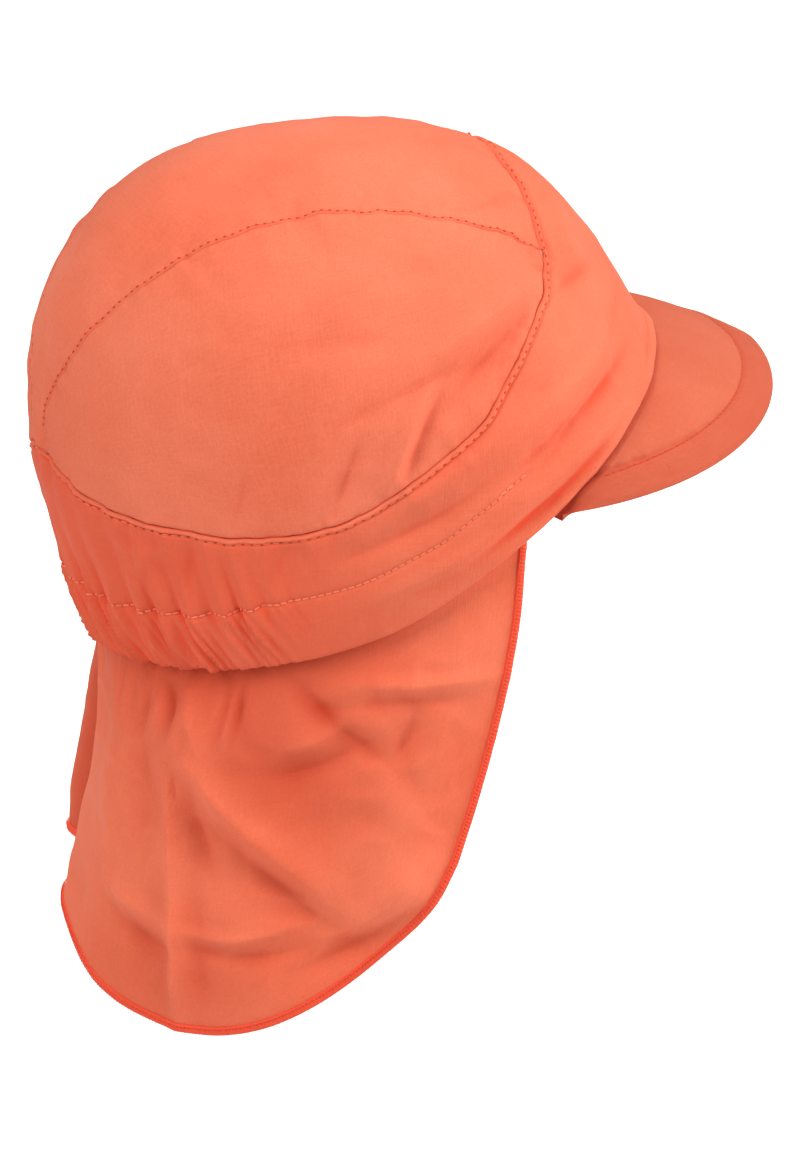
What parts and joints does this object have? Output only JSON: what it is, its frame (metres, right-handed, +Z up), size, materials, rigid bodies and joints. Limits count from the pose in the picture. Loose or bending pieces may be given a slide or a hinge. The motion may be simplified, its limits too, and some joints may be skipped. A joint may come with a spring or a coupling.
{
  "type": "legionnaire cap",
  "caption": "Coral cotton legionnaire cap with a three-panel crown, an elasticated back band, a soft curved peak and a hanging neck flap with an overlocked edge, held as worn.",
  "frame": {"origin": "centre of the head opening, halfway between the front and the back of the band's lower edge", "axes": "+X forward over the peak, +Y to the wearer's left, +Z up as worn, with the opening tipped up about 24 degrees at the front"},
  "size_m": [0.2132, 0.1554, 0.2435],
  "materials": {
    "coral_cloth": "matte",
    "peak_cloth": "matte",
    "hem_thread": "satin"
  },
  "bodies": {
    "root": {"crown_top_panel": "coral_cloth", "crown_side_panel_right": "coral_cloth", "crown_side_panel_left": "coral_cloth", "front_band": "coral_cloth", "peak": "peak_cloth", "neck_flap": "coral_cloth", "flap_hem": "hem_thread"}
  },
  "joints": []
}
